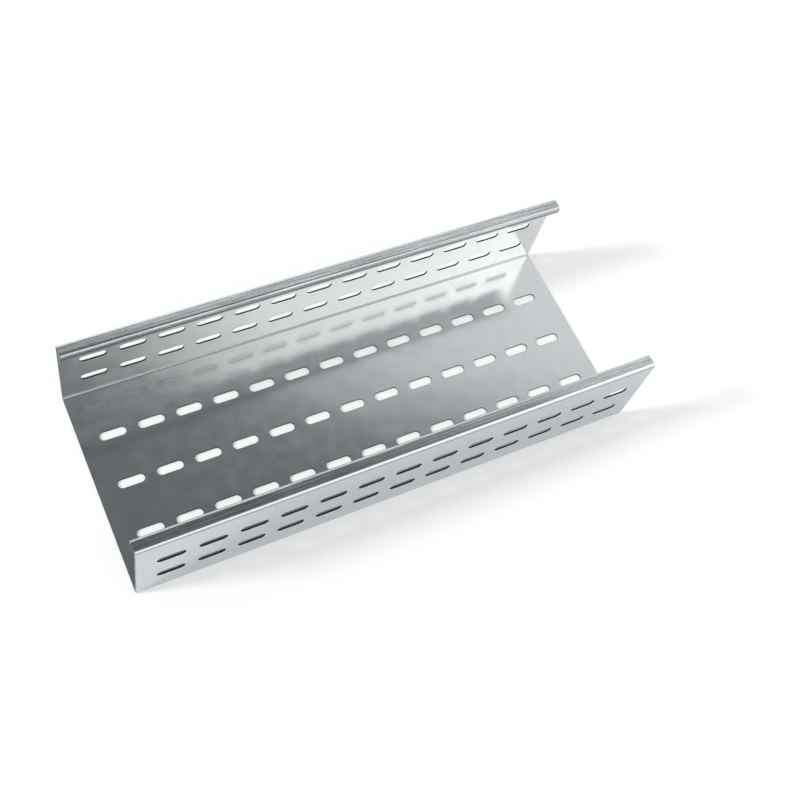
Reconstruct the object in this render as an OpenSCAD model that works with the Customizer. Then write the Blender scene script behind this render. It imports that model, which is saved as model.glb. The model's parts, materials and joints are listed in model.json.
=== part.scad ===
// Perforated cable tray: one strip of galvanised steel sheet, punched with rows of slots and
// roll-formed into an open channel with in-turned rims.
// X runs along the tray, Y across it and Z up. The origin is under the middle of the base.

/* [Channel] */
// Length of the tray along X
length = 500; // [150:1:3000]
// Width across the outer faces of the walls
width = 200; // [100:1:600]
// Height from the underside of the base to the top of the rims
height = 100; // [60:1:150]

/* [Sheet] */
// Thickness of the steel sheet
sheet_t = 1.5; // [0.7:0.1:2.5]
// Inside radius of every fold
fold_r = 1.5; // [0.5:0.1:3]

/* [Rims] */
// Width of the in-turned rim, from the wall's outer face to the rim's inner face
rim_width = 13; // [12:0.5:30]
// Height of the return that hangs from the rim's inner edge, measured from the top of the rim
rim_drop = 7; // [6:0.5:15]

/* [Slots] */
// Length of a slot from end to end
slot_length = 25; // [15:0.5:30]
// Width of a slot, which is also the diameter of its round ends
slot_width = 8.5; // [5:0.1:12]
// Distance between the middles of neighbouring slots in a row
slot_pitch = 36.5; // [35:0.5:80]
// Least length of plain sheet between a row's last slot and the end of the tray
end_land = 15; // [10:1:40]

/* [Base rows] */
// Distance between neighbouring rows of slots in the base
base_row_pitch = 50; // [20:1:80]
// Least width of plain sheet between an outer row's slots and the base fold
base_land = 20; // [5:1:40]

/* [Wall rows] */
// Height of the lowest row's middle above the underside of the base
wall_row_height = 31; // [20:0.5:40]
// Distance between neighbouring rows of slots in a wall
wall_row_pitch = 33; // [15:0.5:60]
// Least height of plain sheet between the top row's slots and the rim fold
wall_land = 15; // [5:1:30]

/* [Hidden] */
$fn = 64;

// Radius of a fold's outer face
fold_outer_r = fold_r + sheet_t;

// Flats of half the section, from the middle of the base to the edge of the return
half_base = width / 2 - fold_outer_r;
wall_flat = height - 2 * fold_outer_r;
rim_flat = rim_width - 2 * fold_outer_r;
return_flat = rim_drop - fold_outer_r;
half_flats = [half_base, wall_flat, rim_flat, return_flat];

// Slots that fit in a row, and rows that fit in the base and in a wall
slots_in_row = 1 + floor((length - 2 * end_land - slot_length) / slot_pitch);
base_rows = 1 + floor((2 * (half_base - base_land) - slot_width) / base_row_pitch);
top_row_limit = height - fold_outer_r - wall_land - slot_width / 2;
wall_rows = 1 + floor((top_row_limit - wall_row_height) / wall_row_pitch);

// How far a punch reaches past each face of the sheet
punch_reach = 1;

// Quarter-round fold that turns the sheet up from a flat that ends at the origin
module fold() {
    translate([0, fold_outer_r])
        intersection() {
            difference() {
                circle(r = fold_outer_r);
                circle(r = fold_r);
            }
            translate([0, -fold_outer_r])
                square(fold_outer_r);
        }
}

// Half the section from one flat onwards: the flat, its fold, and what follows at a right angle
module half_section(flat = 0) {
    square([half_flats[flat], sheet_t]);
    if (flat < len(half_flats) - 1)
        translate([half_flats[flat], 0]) {
            fold();
            translate([fold_outer_r, fold_outer_r])
                rotate(90)
                    half_section(flat + 1);
        }
}

// The whole open section, drawn with its underside on the X axis
module section() {
    half_section();
    mirror([1, 0])
        half_section();
}

// Outline of one slot, with full round ends
module slot_outline() {
    straight = slot_length - slot_width;
    square([straight, slot_width], center = true);
    for (end = [-1, 1])
        translate([end * straight / 2, 0])
            circle(d = slot_width);
}

// Punches for one row of slots, through a sheet that lies on Z = 0
module slot_row() {
    first = -(slots_in_row - 1) / 2 * slot_pitch;
    for (slot = [0 : 1 : slots_in_row - 1])
        translate([first + slot * slot_pitch, 0, -punch_reach])
            linear_extrude(sheet_t + 2 * punch_reach)
                slot_outline();
}

// Punches for the rows of the base, spread evenly about its middle
module base_slots() {
    first = -(base_rows - 1) / 2 * base_row_pitch;
    for (row = [0 : 1 : base_rows - 1])
        translate([0, first + row * base_row_pitch, 0])
            slot_row();
}

// Punches for the rows of the wall at +Y, from its outer face inwards
module wall_slots() {
    for (row = [0 : 1 : wall_rows - 1])
        translate([0, width / 2, wall_row_height + row * wall_row_pitch])
            rotate([90, 0, 0])
                slot_row();
}

module tray() {
    color("#b3bbbc")
        difference() {
            rotate([90, 0, 90])
                linear_extrude(length, center = true)
                    section();
            base_slots();
            for (side = [0, 1])
                mirror([0, side, 0])
                    wall_slots();
        }
}

tray();
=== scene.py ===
"""Looks of a perforated cable tray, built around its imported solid, in metres."""

import json
import math

import bpy
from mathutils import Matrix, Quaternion, Vector


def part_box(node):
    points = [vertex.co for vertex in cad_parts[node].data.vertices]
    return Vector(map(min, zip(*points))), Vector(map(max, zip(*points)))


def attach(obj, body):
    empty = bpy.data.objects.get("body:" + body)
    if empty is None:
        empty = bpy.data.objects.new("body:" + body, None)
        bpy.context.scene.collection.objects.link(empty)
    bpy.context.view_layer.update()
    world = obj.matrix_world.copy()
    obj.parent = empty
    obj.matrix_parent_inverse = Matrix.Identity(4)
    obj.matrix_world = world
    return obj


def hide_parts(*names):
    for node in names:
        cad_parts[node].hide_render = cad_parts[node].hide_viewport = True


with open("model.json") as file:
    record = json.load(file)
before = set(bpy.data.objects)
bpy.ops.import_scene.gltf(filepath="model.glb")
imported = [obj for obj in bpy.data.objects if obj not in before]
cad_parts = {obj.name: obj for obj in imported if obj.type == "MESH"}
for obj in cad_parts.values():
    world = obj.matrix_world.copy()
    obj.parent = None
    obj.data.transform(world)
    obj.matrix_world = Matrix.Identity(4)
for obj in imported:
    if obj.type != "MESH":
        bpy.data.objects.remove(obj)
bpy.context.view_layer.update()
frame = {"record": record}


# The tray is one strip of galvanised steel sheet. Rows of slots are punched in the flat strip, and
# rollers then fold it three times a side: the wall up, the rim in and the return down. The strip is
# drawn here flat, as it leaves the punch, and folded the same way.
MM = 0.001
SHEET_THICKNESS = 1.5 * MM
FOLD_RADIUS = 3 * MM
RIM_WIDTH = 13 * MM
RETURN_DROP = 7 * MM
SLOTS_IN_ROW = 13
BASE_ROWS = 3
WALL_ROWS = 2
SLOT_SIDES = 34
FOLD_STEPS = 10
WELD_DISTANCE = 0.01 * MM
EDGE_BREAK = 0.3 * MM
EDGE_BREAK_STEPS = 2
CUT_EDGE_DEG = 50
FLAT_FACE_WEIGHT = 100
# Where a dark crease line starts and ends, as shares of the way round its fold.
# In the base folds the line is painted shade; below the rim folds it is a pressed dull line.
BASE_CREASE_SHADE = (0.2, 0.4)
RIM_CREASE = (0, 0.35)
# A level for each face, from 0 to 1, for its painted shade and its wear.
# Outside: painted shade and some wear. Rims: worn streaks. Returns: painted shade and wear.
OUTSIDE_SHADE_AND_WEAR = 0.5
RIM_RUB = 0.75
RETURN_SHADE_AND_WEAR = 1

low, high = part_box("tray")
length, width, height = high - low
mounts = {mount["name"]: mount for mount in frame["record"]["mounts"]}
base_pattern = mounts["base_support_slots"]["dims"]
wall_mount = mounts["left_wall_coupler_slots"]
wall_pattern = wall_mount["dims"]
wall_pattern_height = wall_mount["pos_m"][2]


def add(tree, kind, inputs=None, **settings):
    """Adds a node, sets its properties, and fills its inputs with values or links."""
    node = tree.nodes.new(kind)
    for name, value in settings.items():
        setattr(node, name, value)
    for name, value in (inputs or {}).items():
        for source in value if isinstance(value, list) else [value]:
            if isinstance(source, bpy.types.Node):
                source = source.outputs[0]
            if isinstance(source, bpy.types.NodeSocket):
                tree.links.new(source, node.inputs[name])
            else:
                node.inputs[name].default_value = source
    return node


def start_geometry(name, **inputs):
    """Starts a geometry tree that gives a sheet, and returns it with its named inputs."""
    tree = bpy.data.node_groups.new(name, "GeometryNodeTree")
    for label, kind in inputs.items():
        tree.interface.new_socket(label, in_out="INPUT", socket_type="NodeSocket" + kind)
    tree.interface.new_socket("sheet", in_out="OUTPUT", socket_type="NodeSocketGeometry")
    return tree, add(tree, "NodeGroupInput").outputs


# Punching: a flat panel less its rows of slots. A slot is a circle with its two halves pulled
# apart.
panel, given = start_geometry(
    "punched_panel",
    length="Float",
    breadth="Float",
    slots="Int",
    row_length="Float",
    rows="Int",
    row_spread="Float",
    row_shift="Float",
    slot_length="Float",
    slot_width="Float",
)
border = add(
    panel,
    "GeometryNodeCurvePrimitiveQuadrilateral",
    {"Width": given["length"], "Height": given["breadth"]},
)
end_radius = add(panel, "ShaderNodeMath", {0: given["slot_width"], 1: 0.5}, operation="MULTIPLY")
straight = add(
    panel,
    "ShaderNodeMath",
    {0: given["slot_length"], 1: given["slot_width"]},
    operation="SUBTRACT",
)
half_straight = add(panel, "ShaderNodeMath", {0: straight, 1: 0.5}, operation="MULTIPLY")
circle = add(
    panel, "GeometryNodeCurvePrimitiveCircle", {"Resolution": SLOT_SIDES, "Radius": end_radius}
)
which_end = add(
    panel, "ShaderNodeVectorMath", {0: add(panel, "GeometryNodeInputPosition")}, operation="SIGN"
)
pull = add(
    panel,
    "ShaderNodeVectorMath",
    {0: which_end, 1: add(panel, "ShaderNodeCombineXYZ", {"X": half_straight})},
    operation="MULTIPLY",
)
slot = add(panel, "GeometryNodeSetPosition", {"Geometry": circle, "Offset": pull})
centres = add(
    panel,
    "GeometryNodeMeshGrid",
    {
        "Size X": given["row_length"],
        "Size Y": given["row_spread"],
        "Vertices X": given["slots"],
        "Vertices Y": given["rows"],
    },
)
shift = add(panel, "ShaderNodeCombineXYZ", {"Y": given["row_shift"]})
centres = add(panel, "GeometryNodeTransform", {"Geometry": centres, "Translation": shift})
slots = add(panel, "GeometryNodeInstanceOnPoints", {"Points": centres, "Instance": slot})
slots = add(panel, "GeometryNodeRealizeInstances", {"Geometry": slots})
outlines = add(panel, "GeometryNodeJoinGeometry", {"Geometry": [border, slots]})
filled = add(panel, "GeometryNodeFillCurve", {"Curve": outlines}, mode="NGONS")
add(panel, "NodeGroupOutput", {"sheet": filled})

# Folding: on both sides, the sheet beyond a fold line is turned up by a right angle, around the
# fold radius.
fold, given = start_geometry("fold", sheet="Geometry", line="Float", radius="Float")
place = add(fold, "ShaderNodeSeparateXYZ", {0: add(fold, "GeometryNodeInputPosition")}).outputs
side = add(fold, "ShaderNodeMath", {0: place["Y"]}, operation="SIGN")
across = add(fold, "ShaderNodeMath", {0: place["Y"]}, operation="ABSOLUTE")
beyond = add(fold, "ShaderNodeMath", {0: across, 1: given["line"]}, operation="SUBTRACT")
arc = add(fold, "ShaderNodeMath", {0: given["radius"], 1: math.pi / 2}, operation="MULTIPLY")
bent = add(fold, "ShaderNodeClamp", {"Value": beyond, "Max": arc})
straight_on = add(fold, "ShaderNodeMath", {0: beyond, 1: bent}, operation="SUBTRACT")
unturned = add(fold, "ShaderNodeCombineXYZ", {"X": place["X"], "Y": straight_on, "Z": place["Z"]})
turned = add(
    fold,
    "ShaderNodeVectorRotate",
    {
        "Vector": unturned,
        "Center": add(fold, "ShaderNodeCombineXYZ", {"Z": given["radius"]}),
        "Angle": add(fold, "ShaderNodeMath", {0: bent, 1: given["radius"]}, operation="DIVIDE"),
    },
    rotation_type="X_AXIS",
)
from_line = add(
    fold,
    "ShaderNodeVectorMath",
    {0: turned, 1: add(fold, "ShaderNodeCombineXYZ", {"Y": given["line"]})},
    operation="ADD",
)
folded = add(
    fold,
    "ShaderNodeVectorMath",
    {0: from_line, 1: add(fold, "ShaderNodeCombineXYZ", {"X": 1, "Y": side, "Z": 1})},
    operation="MULTIPLY",
)
bent_sheet = add(fold, "GeometryNodeSetPosition", {"Geometry": given["sheet"], "Position": folded})
add(fold, "NodeGroupOutput", {"sheet": bent_sheet})

# The strip: its flats and the sheet for its folds are laid side by side, welded and given their
# thickness, and the folds are made from the edge of the strip inwards.
strip, given = start_geometry(
    "roll_formed_tray",
    length="Float",
    base_flat="Float",
    wall_flat="Float",
    rim_flat="Float",
    return_flat="Float",
    fold_radius="Float",
    thickness="Float",
    slots="Int",
    row_length="Float",
    slot_length="Float",
    slot_width="Float",
    base_rows="Int",
    base_row_spread="Float",
    wall_rows="Int",
    wall_row_spread="Float",
    wall_row_shift="Float",
    finish="Material",
    punched_finish="Material",
    trimmed_finish="Material",
)
punch = {
    name: given[name] for name in ("length", "slots", "row_length", "slot_length", "slot_width")
}
base = add(
    strip,
    "GeometryNodeGroup",
    {
        **punch,
        "breadth": given["base_flat"],
        "rows": given["base_rows"],
        "row_spread": given["base_row_spread"],
    },
    node_tree=panel,
)
wall = add(
    strip,
    "GeometryNodeGroup",
    {
        **punch,
        "breadth": given["wall_flat"],
        "rows": given["wall_rows"],
        "row_spread": given["wall_row_spread"],
        "row_shift": given["wall_row_shift"],
    },
    node_tree=panel,
)
fold_flat = add(
    strip, "ShaderNodeMath", {0: given["fold_radius"], 1: math.pi / 2}, operation="MULTIPLY"
)
edge = add(strip, "ShaderNodeMath", {0: given["base_flat"], 1: 0.5}, operation="MULTIPLY")
half = []
starts = []
for part in ("fold", "wall", "fold", "rim", "fold", "return"):
    starts.append(edge)
    if part == "fold":
        breadth = fold_flat
        steps = FOLD_STEPS
    else:
        breadth = given[part + "_flat"]
        steps = 1
    if part == "wall":
        flat = wall
    else:
        flat = add(
            strip,
            "GeometryNodeMeshGrid",
            {
                "Size X": given["length"],
                "Size Y": breadth,
                "Vertices X": 2,
                "Vertices Y": steps + 1,
            },
        )
    middle = add(strip, "ShaderNodeMath", {0: breadth, 1: 0.5, 2: edge}, operation="MULTIPLY_ADD")
    offset = add(strip, "ShaderNodeCombineXYZ", {"Y": middle})
    half.append(add(strip, "GeometryNodeTransform", {"Geometry": flat, "Translation": offset}))
    edge = add(strip, "ShaderNodeMath", {0: edge, 1: breadth}, operation="ADD")
half = add(strip, "GeometryNodeJoinGeometry", {"Geometry": half})
other_half = add(strip, "GeometryNodeTransform", {"Geometry": half, "Rotation": (0, 0, math.pi)})
sheet = add(strip, "GeometryNodeJoinGeometry", {"Geometry": [base, half, other_half]})
sheet = add(strip, "GeometryNodeMergeByDistance", {"Geometry": sheet, "Distance": WELD_DISTANCE})
upper = add(
    strip,
    "GeometryNodeExtrudeMesh",
    {"Mesh": sheet, "Offset": (0, 0, 1), "Offset Scale": given["thickness"], "Individual": False},
)
inside = add(
    strip,
    "GeometryNodeStoreNamedAttribute",
    {"Geometry": upper, "Name": "cut", "Value": upper.outputs["Side"]},
    data_type="BOOLEAN",
    domain="FACE",
)
place = add(strip, "ShaderNodeSeparateXYZ", {0: add(strip, "GeometryNodeInputPosition")}).outputs
across = add(strip, "ShaderNodeMath", {0: place["Y"]}, operation="ABSOLUTE")
# The outside is painted darker as shade, the rims are worn with streaks, and the returns get
# painted shade and wear. The fold between wall and rim misses the painted shade and stays bright.
wear_and_shade_level = OUTSIDE_SHADE_AND_WEAR
for start, level in zip(starts, (OUTSIDE_SHADE_AND_WEAR, OUTSIDE_SHADE_AND_WEAR, 0, RIM_RUB, RIM_RUB, RETURN_SHADE_AND_WEAR)):
    past = add(strip, "ShaderNodeMath", {0: across, 1: start}, operation="GREATER_THAN")
    wear_and_shade_level = add(strip, "ShaderNodeMapRange", {"Value": past, "To Min": wear_and_shade_level, "To Max": level})
outside = add(
    strip,
    "GeometryNodeStoreNamedAttribute",
    {
        "Geometry": add(strip, "GeometryNodeFlipFaces", {"Mesh": sheet}),
        "Name": "rubbed",
        "Value": wear_and_shade_level,
    },
    data_type="FLOAT",
    domain="FACE",
)
# Painted shade darkens a line inside each base fold; the rolls press a crease below each rim fold.
faces = []
for side_faces, fold_start, crease in (
    (inside, starts[0], BASE_CREASE_SHADE),
    (outside, starts[2], RIM_CREASE),
):
    into_fold = add(strip, "ShaderNodeMath", {0: across, 1: fold_start}, operation="SUBTRACT")
    into_fold = add(strip, "ShaderNodeMath", {0: into_fold, 1: fold_flat}, operation="DIVIDE")
    pressed = add(
        strip,
        "ShaderNodeMath",
        {0: into_fold, 1: sum(crease) / 2, 2: (crease[1] - crease[0]) / 2},
        operation="COMPARE",
    )
    faces.append(
        add(
            strip,
            "GeometryNodeStoreNamedAttribute",
            {"Geometry": side_faces, "Name": "pressed", "Value": pressed},
            data_type="FLOAT",
            domain="FACE",
        )
    )
sheet = add(strip, "GeometryNodeJoinGeometry", {"Geometry": faces})
sheet = add(strip, "GeometryNodeMergeByDistance", {"Geometry": sheet, "Distance": WELD_DISTANCE})
for line in (starts[4], starts[2], starts[0]):
    sheet = add(
        strip,
        "GeometryNodeGroup",
        {"sheet": sheet, "line": line, "radius": given["fold_radius"]},
        node_tree=fold,
    )
sheet = add(strip, "GeometryNodeSetShadeSmooth", {"Geometry": sheet})
sheet = add(strip, "GeometryNodeRealizeInstances", {"Geometry": sheet})
sheet = add(strip, "GeometryNodeSetMaterial", {"Geometry": sheet, "Material": given["finish"]})
cut_faces = add(strip, "GeometryNodeInputNamedAttribute", {"Name": "cut"}, data_type="BOOLEAN")
sheet = add(
    strip,
    "GeometryNodeSetMaterial",
    {"Geometry": sheet, "Selection": cut_faces, "Material": given["punched_finish"]},
)
half_length = add(strip, "ShaderNodeMath", {0: given["length"], 1: 0.5}, operation="MULTIPLY")
along = add(strip, "ShaderNodeMath", {0: place["X"]}, operation="ABSOLUTE")
short_of_end = add(strip, "ShaderNodeMath", {0: half_length, 1: along}, operation="SUBTRACT")
at_end = add(strip, "ShaderNodeMath", {0: short_of_end, 1: WELD_DISTANCE}, operation="LESS_THAN")
sheet = add(
    strip,
    "GeometryNodeSetMaterial",
    {"Geometry": sheet, "Selection": at_end, "Material": given["trimmed_finish"]},
)
add(strip, "NodeGroupOutput", {"sheet": sheet})


def linear(code):
    """Turns an sRGB hex colour into the linear colour that a shader takes."""
    shares = [int(code[at : at + 2], 16) / 255 for at in (1, 3, 5)]
    return (*(s / 12.92 if s <= 0.04045 else ((s + 0.055) / 1.055) ** 2.4 for s in shares), 1)


def start_material(name):
    """Starts a material with no nodes, and returns it with its tree."""
    material = bpy.data.materials.new(name)
    material.use_nodes = True
    material.node_tree.nodes.clear()
    return material, material.node_tree


# Hot-dip galvanised steel, skin-passed between rolls: a satin zinc grey that mirrors the room, a
# little cloudy. The outside is painted darker, as shade. The rims, worked most, are scored with
# streaks along the strip. Returns and base creases are painted dark as shade; rim creases are dull.
ZINC = linear("#e2e4e5")
SHADED_OUTSIDE_ZINC = linear("#c9d0d5")
SCORED_AND_SHADED_ZINC = linear("#868e92")
# Streaks and grain are drawn coarser than the real ones, which are under half a millimetre.
STREAK_LENGTH = 70 * MM
STREAK_WIDTH = 1.1 * MM
STREAK_DEPTH = 0.035 * MM
GRAIN_WIDTH = 1.4 * MM
CLOUD_WIDTH = 14 * MM
WAVE_LENGTH = 80 * MM
WAVE_DEPTH = 0.3 * MM
# The levels of a pattern between which its marks come up.
STREAK_LEVELS = (0.4, 0.62)
GRAIN_LEVELS = (0.35, 0.75)
CLOUD_LEVELS = (0.4, 0.75)
# How strongly the marks are scored, with the grain's inside and outside.
STREAK_SCORE = 0.6
GRAIN_SCORE = (0.06, 0.25)
# The satin's roughness from clear to clouded, and what wear adds to it.
SATIN_ROUGHNESS = (0.15, 0.185)
OUTSIDE_WEAR = 0.06
RIM_WEAR = 0.05
RETURN_WEAR = 0.15

galvanised, tree = start_material("galvanised_zinc_skin_passed")
place = add(tree, "ShaderNodeTexCoord").outputs["Object"]
rubbed = add(tree, "ShaderNodeAttribute", attribute_name="rubbed").outputs["Fac"]
pressed = add(tree, "ShaderNodeAttribute", attribute_name="pressed").outputs["Fac"]
on_outside = add(tree, "ShaderNodeMapRange", {"Value": rubbed, "From Max": OUTSIDE_SHADE_AND_WEAR})
on_rim = add(
    tree, "ShaderNodeMapRange", {"Value": rubbed, "From Min": OUTSIDE_SHADE_AND_WEAR, "From Max": RIM_RUB}
)
on_return = add(
    tree, "ShaderNodeMapRange", {"Value": rubbed, "From Min": RIM_RUB, "From Max": RETURN_SHADE_AND_WEAR}
)
along = add(
    tree,
    "ShaderNodeMapping",
    {"Vector": place, "Scale": (1 / STREAK_LENGTH, 1 / STREAK_WIDTH, 1 / STREAK_WIDTH)},
)
streaks = add(
    tree, "ShaderNodeTexNoise", {"Vector": along, "Scale": 1, "Detail": 3, "Roughness": 0.65}
)
grain = add(tree, "ShaderNodeTexNoise", {"Vector": place, "Scale": 1 / GRAIN_WIDTH, "Detail": 1})
clouds = add(tree, "ShaderNodeTexNoise", {"Vector": place, "Scale": 1 / CLOUD_WIDTH, "Detail": 2})
waves = add(tree, "ShaderNodeTexNoise", {"Vector": place, "Scale": 1 / WAVE_LENGTH, "Detail": 2})
streak_marks, grain_marks, cloud_marks = (
    add(tree, "ShaderNodeMapRange", {"Value": pattern, "From Min": least, "From Max": most})
    for pattern, (least, most) in (
        (streaks, STREAK_LEVELS),
        (grain, GRAIN_LEVELS),
        (clouds, CLOUD_LEVELS),
    )
)

# Painted shade: the outside flats take the darker zinc, the other faces the clear zinc.
outside_shade_and_wear = add(tree, "ShaderNodeMath", {0: on_outside, 1: on_rim}, operation="SUBTRACT")
tone = add(tree, "ShaderNodeMix", {0: outside_shade_and_wear, 6: ZINC, 7: SHADED_OUTSIDE_ZINC}, data_type="RGBA")
streaked = add(tree, "ShaderNodeMath", {0: on_rim, 1: streak_marks}, operation="MULTIPLY")
grained = add(
    tree,
    "ShaderNodeMapRange",
    {"Value": on_outside, "To Min": GRAIN_SCORE[0], "To Max": GRAIN_SCORE[1]},
)
# The returns and creases go fully to the scored zinc: painted shade, except at the rim creases.
scored_and_shaded = add(tree, "ShaderNodeMath", {0: on_return, 1: pressed}, operation="ADD")
scored_and_shaded = add(
    tree, "ShaderNodeMath", {0: grain_marks, 1: grained, 2: scored_and_shaded}, operation="MULTIPLY_ADD"
)
scored_and_shaded = add(
    tree,
    "ShaderNodeMath",
    {0: streaked, 1: STREAK_SCORE, 2: scored_and_shaded},
    operation="MULTIPLY_ADD",
    use_clamp=True,
)
colour = add(
    tree, "ShaderNodeMix", {0: scored_and_shaded, 6: tone.outputs[2], 7: SCORED_AND_SHADED_ZINC}, data_type="RGBA"
)
satin = add(
    tree,
    "ShaderNodeMapRange",
    {"Value": cloud_marks, "To Min": SATIN_ROUGHNESS[0], "To Max": SATIN_ROUGHNESS[1]},
)
worn_rim = add(tree, "ShaderNodeMath", {0: on_rim, 1: grain_marks}, operation="MULTIPLY")
for worn, wear in ((outside_shade_and_wear, OUTSIDE_WEAR), (on_return, RETURN_WEAR), (worn_rim, RIM_WEAR)):
    satin = add(tree, "ShaderNodeMath", {0: worn, 1: wear, 2: satin}, operation="MULTIPLY_ADD")
waved = add(tree, "ShaderNodeBump", {"Height": waves, "Distance": WAVE_DEPTH, "Strength": 1})
scratched = add(
    tree,
    "ShaderNodeBump",
    {"Height": streaks, "Distance": STREAK_DEPTH, "Strength": on_rim, "Normal": waved},
)
shader = add(
    tree,
    "ShaderNodeBsdfPrincipled",
    {"Base Color": colour.outputs[2], "Metallic": 1, "Roughness": satin, "Normal": scratched},
)
add(tree, "ShaderNodeOutputMaterial", {"Surface": shader})

# The torn steel inside a punched slot and along the cut edges. Painted shade makes its faces nearly
# black, apart from those that look down, which stay bright.
SLOT_SHADE = linear("#1c1f22")
TORN_STEEL = linear("#80868a")
# How far up a face looks, from -1 to 1, where its painted shade starts and where it covers all.
SHADE_FACING = (-0.9, -0.2)
TORN_ROUGHNESS = 0.25
SHADE_ROUGHNESS = 0.5

punched, tree = start_material("punched_steel")
facing = add(tree, "ShaderNodeTexCoord").outputs["Normal"]
upwards = add(tree, "ShaderNodeSeparateXYZ", {0: facing}).outputs["Z"]
slot_shade = add(
    tree,
    "ShaderNodeMapRange",
    {"Value": upwards, "From Min": SHADE_FACING[0], "From Max": SHADE_FACING[1]},
)
colour = add(tree, "ShaderNodeMix", {0: slot_shade, 6: TORN_STEEL, 7: SLOT_SHADE}, data_type="RGBA")
matt = add(
    tree,
    "ShaderNodeMapRange",
    {"Value": slot_shade, "To Min": TORN_ROUGHNESS, "To Max": SHADE_ROUGHNESS},
)
shader = add(
    tree,
    "ShaderNodeBsdfPrincipled",
    {"Base Color": colour.outputs[2], "Metallic": 1, "Roughness": matt},
)
add(tree, "ShaderNodeOutputMaterial", {"Surface": shader})

# The ends, trimmed with a blade after forming: a narrow face of bare steel, bright where the blade
# cut clean and duller where it dragged.
CUT_STEEL = linear("#d9dcdd")
DRAGGED_STEEL = linear("#a7adb0")
DRAG_WIDTH = 4 * MM
DRAG_LEVELS = (0.4, 0.7)
CUT_ROUGHNESS = 0.3
DRAGGED_ROUGHNESS = 0.45

trimmed, tree = start_material("trimmed_steel")
place = add(tree, "ShaderNodeTexCoord").outputs["Object"]
drag = add(tree, "ShaderNodeTexNoise", {"Vector": place, "Scale": 1 / DRAG_WIDTH, "Detail": 3})
drag_marks = add(
    tree,
    "ShaderNodeMapRange",
    {"Value": drag, "From Min": DRAG_LEVELS[0], "From Max": DRAG_LEVELS[1]},
)
colour = add(
    tree, "ShaderNodeMix", {0: drag_marks, 6: CUT_STEEL, 7: DRAGGED_STEEL}, data_type="RGBA"
)
matt = add(
    tree,
    "ShaderNodeMapRange",
    {"Value": drag_marks, "To Min": CUT_ROUGHNESS, "To Max": DRAGGED_ROUGHNESS},
)
shader = add(
    tree,
    "ShaderNodeBsdfPrincipled",
    {"Base Color": colour.outputs[2], "Metallic": 1, "Roughness": matt},
)
add(tree, "ShaderNodeOutputMaterial", {"Surface": shader})

sizes = {
    "length": length,
    "base_flat": width - 2 * FOLD_RADIUS,
    "wall_flat": height - 2 * FOLD_RADIUS,
    "rim_flat": RIM_WIDTH - 2 * FOLD_RADIUS,
    "return_flat": RETURN_DROP - FOLD_RADIUS,
    "fold_radius": FOLD_RADIUS,
    "thickness": SHEET_THICKNESS,
    "slots": SLOTS_IN_ROW,
    "row_length": wall_pattern["spacing_x_mm"] * MM,
    "slot_length": wall_pattern["slot_length_mm"] * MM,
    "slot_width": 2 * wall_pattern["hole_r_mm"] * MM,
    "base_rows": BASE_ROWS,
    "base_row_spread": base_pattern["spacing_y_mm"] * MM,
    "wall_rows": WALL_ROWS,
    "wall_row_spread": wall_pattern["spacing_y_mm"] * MM,
    "wall_row_shift": wall_pattern_height - height / 2,
    "finish": galvanised,
    "punched_finish": punched,
    "trimmed_finish": trimmed,
}
blank = bpy.data.objects.new("tray_blank", bpy.data.meshes.new("tray_blank"))
bpy.context.collection.objects.link(blank)
forming = blank.modifiers.new("forming", "NODES")
forming.node_group = strip
for socket in strip.interface.items_tree:
    if socket.in_out == "INPUT":
        forming[socket.identifier] = sizes[socket.name]
graph = bpy.context.evaluated_depsgraph_get()
formed = bpy.data.meshes.new_from_object(blank.evaluated_get(graph))
bpy.data.objects.remove(blank)
# The laid-out panels bring an empty first material slot, which no face uses.
formed.materials.pop(index=0)
tray_sheet = bpy.data.objects.new("tray_sheet", formed)
bpy.context.collection.objects.link(tray_sheet)
# Punch and blade leave every edge a little broken, in punched steel with its painted shade.
edges = tray_sheet.modifiers.new("edge_break", "BEVEL")
edges.width = EDGE_BREAK
edges.segments = EDGE_BREAK_STEPS
edges.limit_method = "ANGLE"
edges.angle_limit = math.radians(CUT_EDGE_DEG)
edges.material = formed.materials.find(punched.name)
edges.face_strength_mode = "FSTR_ALL"
# The flat faces are shaded flat right up to their broken edges.
normals = tray_sheet.modifiers.new("flat_faces", "WEIGHTED_NORMAL")
normals.weight = FLAT_FACE_WEIGHT
normals.use_face_influence = True
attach(tray_sheet, "root")
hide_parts("tray")


# The floor is a plain pale studio sheet. It shows white to the eye and in the metal, and its matt
# part takes the soft shadow of the lamp.
PAPER = linear("#c6c4c4")
FLOOR_SIZE = 12
FLOOR_GLOW = 0.39

half_floor = FLOOR_SIZE / 2
floor_mesh = bpy.data.meshes.new("floor")
floor_mesh.from_pydata(
    [(x * half_floor, y * half_floor, low.z) for x, y in ((-1, -1), (1, -1), (1, 1), (-1, 1))],
    [],
    [(0, 1, 2, 3)],
)
floor = bpy.data.objects.new("floor", floor_mesh)
bpy.context.collection.objects.link(floor)
paper, tree = start_material("white_studio_paper")
ray = add(tree, "ShaderNodeLightPath").outputs
seen = add(
    tree, "ShaderNodeMath", {0: ray["Is Camera Ray"], 1: ray["Is Glossy Ray"]}, operation="ADD"
)
seen = add(tree, "ShaderNodeMath", {0: seen, 1: ray["Is Transmission Ray"]}, operation="ADD")
glow_strength = add(tree, "ShaderNodeMath", {0: seen, 1: FLOOR_GLOW}, operation="MULTIPLY")
glow = add(tree, "ShaderNodeEmission", {"Strength": glow_strength})
matt = add(tree, "ShaderNodeBsdfDiffuse", {"Color": PAPER})
both = add(tree, "ShaderNodeAddShader", {0: glow, 1: matt})
add(tree, "ShaderNodeOutputMaterial", {"Surface": both})
floor_mesh.materials.append(paper)


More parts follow.
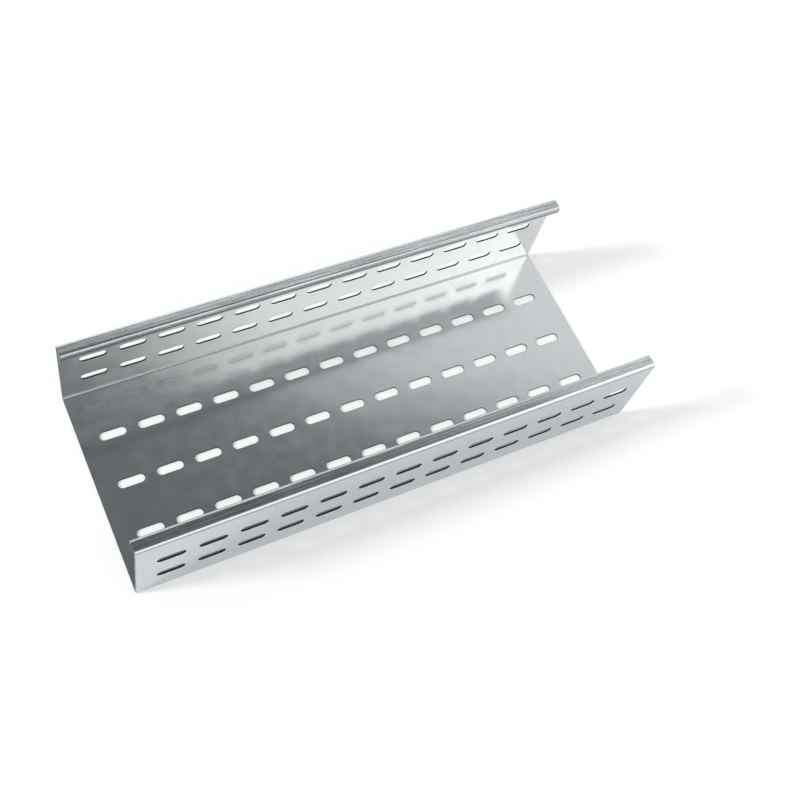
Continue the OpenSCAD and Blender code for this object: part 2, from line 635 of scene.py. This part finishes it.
# The studio: a white tent all round under a pale roof, brighter in front. A dark panel with two
# straight edges hangs over the tray, a soft box stands in front on the right, and a soft lamp low on
# the left casts the shadow, screened so that it doesn't glare in the metal.
TENT = linear("#e5eaea")
FRONT_TENT = linear("#e5e6e3")
ROOF = linear("#bcc2c4")
PANEL = linear("#666c6e")
# Azimuth and elevation of the panel's two edges, at their tops, and of the soft box.
FAR_EDGE_DEG = (58.9, 61.3)
FRONT_EDGE_DEG = (-29.6, 66.2)
BOX_DEG = (-38, 55)
# The angles between which a part of the room comes up: by elevation, below an edge of the panel, or
# from the middle of the soft box. The panel's left end is given by the direction's X instead.
HORIZON_DEG = (35, 20)
ROUND_DEG = (52, 44)
FRONT_FADE_DEG = (29, 45)
FAR_BLUR_DEG = (-0.3, 0.3)
FRONT_BLUR_DEG = (-2.6, 2.6)
LOW_FRONT_DEG = (10, 25)
BOX_BLUR_DEG = (6, 1)
PANEL_LEFT = (-0.28, -0.06)
# What each part of the room glows beyond the tent.
HORIZON_GLOW = 0.38
FRONT_GLOW = 0.68
LOW_FRONT_GLOW = 0.4
BOX_GLOW = 0.9
LAMP_TRAVEL = Vector((160, -35, -100))
LAMP_POWER = 2.5
LAMP_SPREAD_DEG = 10


def towards(azimuth_deg, elevation_deg):
    """Gives the direction at this azimuth, turned up from the level by this elevation."""
    azimuth = math.radians(azimuth_deg)
    elevation = math.radians(elevation_deg)
    level = math.cos(elevation)
    return Vector((math.cos(azimuth) * level, math.sin(azimuth) * level, math.sin(elevation)))


world = bpy.data.worlds.new("studio")
bpy.context.scene.world = world
world.use_nodes = True
tree = world.node_tree
tree.nodes.clear()
direction = add(tree, "ShaderNodeTexCoord").outputs["Generated"]
heading = add(tree, "ShaderNodeSeparateXYZ", {0: direction}).outputs


def share_of_room(axis, start, end):
    """Gives how far the direction lies along an axis, softly from 0 at start to 1 at end."""
    if isinstance(axis, Vector):
        axis = add(tree, "ShaderNodeVectorMath", {0: direction, 1: axis}, operation="DOT_PRODUCT")
        axis = axis.outputs["Value"]
    limits = {"Value": axis, "From Min": start, "From Max": end}
    return add(tree, "ShaderNodeMapRange", limits, interpolation_type="SMOOTHSTEP")


def by_elevation(rises_deg):
    """Gives how far the direction has come from the first elevation to the second."""
    return share_of_room(heading["Z"], *(math.sin(math.radians(rise)) for rise in rises_deg))


def below_edge(edge_deg, depths_deg):
    """Gives how far the direction has come from the first depth below an edge to the second."""
    downwards = towards(edge_deg[0], edge_deg[1] - 90)
    return share_of_room(downwards, *(math.sin(math.radians(depth)) for depth in depths_deg))


low_down = by_elevation(HORIZON_DEG)
high_up = by_elevation(FRONT_FADE_DEG)
all_round = by_elevation(ROUND_DEG)
front = below_edge(FRONT_EDGE_DEG, FRONT_BLUR_DEG)
low_front = below_edge(FRONT_EDGE_DEG, LOW_FRONT_DEG)
far = below_edge(FAR_EDGE_DEG, FAR_BLUR_DEG)
tent = add(tree, "ShaderNodeMath", {0: far, 1: front}, operation="MAXIMUM")
tent = add(tree, "ShaderNodeMath", {0: tent, 1: all_round}, operation="MAXIMUM")
soft_box = share_of_room(
    towards(*BOX_DEG), *(math.cos(math.radians(spread)) for spread in BOX_BLUR_DEG)
)
soft_box = add(tree, "ShaderNodeMath", {0: soft_box, 1: front}, operation="MULTIPLY")
front_glow = add(tree, "ShaderNodeMath", {0: front, 1: FRONT_GLOW}, operation="MULTIPLY")
front_glow = add(
    tree,
    "ShaderNodeMath",
    {0: low_front, 1: LOW_FRONT_GLOW, 2: front_glow},
    operation="MULTIPLY_ADD",
)
glow = add(tree, "ShaderNodeMath", {0: low_down, 1: HORIZON_GLOW, 2: 1}, operation="MULTIPLY_ADD")
glow = add(tree, "ShaderNodeMath", {0: high_up, 1: front_glow, 2: glow}, operation="MULTIPLY_ADD")
glow = add(tree, "ShaderNodeMath", {0: soft_box, 1: BOX_GLOW, 2: glow}, operation="MULTIPLY_ADD")
under_panel = share_of_room(heading["X"], *PANEL_LEFT)
overhead = add(tree, "ShaderNodeMix", {0: under_panel, 6: ROOF, 7: PANEL}, data_type="RGBA")
cloth = add(tree, "ShaderNodeMix", {0: front, 6: TENT, 7: FRONT_TENT}, data_type="RGBA")
sky = add(
    tree,
    "ShaderNodeMix",
    {0: tent, 6: overhead.outputs[2], 7: cloth.outputs[2]},
    data_type="RGBA",
)
room = add(tree, "ShaderNodeBackground", {"Color": sky.outputs[2], "Strength": glow})
add(tree, "ShaderNodeOutputWorld", {"Surface": room})

lamp = bpy.data.objects.new("soft_lamp", bpy.data.lights.new("soft_lamp", "SUN"))
bpy.context.collection.objects.link(lamp)
lamp.data.energy = LAMP_POWER
lamp.data.angle = math.radians(LAMP_SPREAD_DEG)
lamp.visible_glossy = False
lamp.rotation_mode = "QUATERNION"
lamp.rotation_quaternion = LAMP_TRAVEL.to_track_quat("-Z", "Y")


# The camera stands in front on the left, well above the tray, and is turned a little about its own
# axis. In the corners the sheet mirrors itself more often than the usual four times.
EYE = Vector((-351.5, -415.0, 1019.0)) * MM
AIM = Vector((51.7, 30.4, 0)) * MM
ROLL_DEG = 19.63
LENS_MM = 54.238
LENS_SHIFT = (0.016, -0.045)
MIRRORINGS = 8

camera = bpy.data.objects.new("camera", bpy.data.cameras.new("camera"))
bpy.context.collection.objects.link(camera)
camera.data.lens = LENS_MM
camera.data.shift_x, camera.data.shift_y = LENS_SHIFT
camera.location = EYE
camera.rotation_mode = "QUATERNION"
camera.rotation_quaternion = (AIM - EYE).to_track_quat("-Z", "Y") @ Quaternion(
    (0, 0, 1), math.radians(ROLL_DEG)
)
bpy.context.scene.camera = camera
bpy.context.scene.view_settings.view_transform = "Standard"
bpy.context.scene.cycles.glossy_bounces = MIRRORINGS
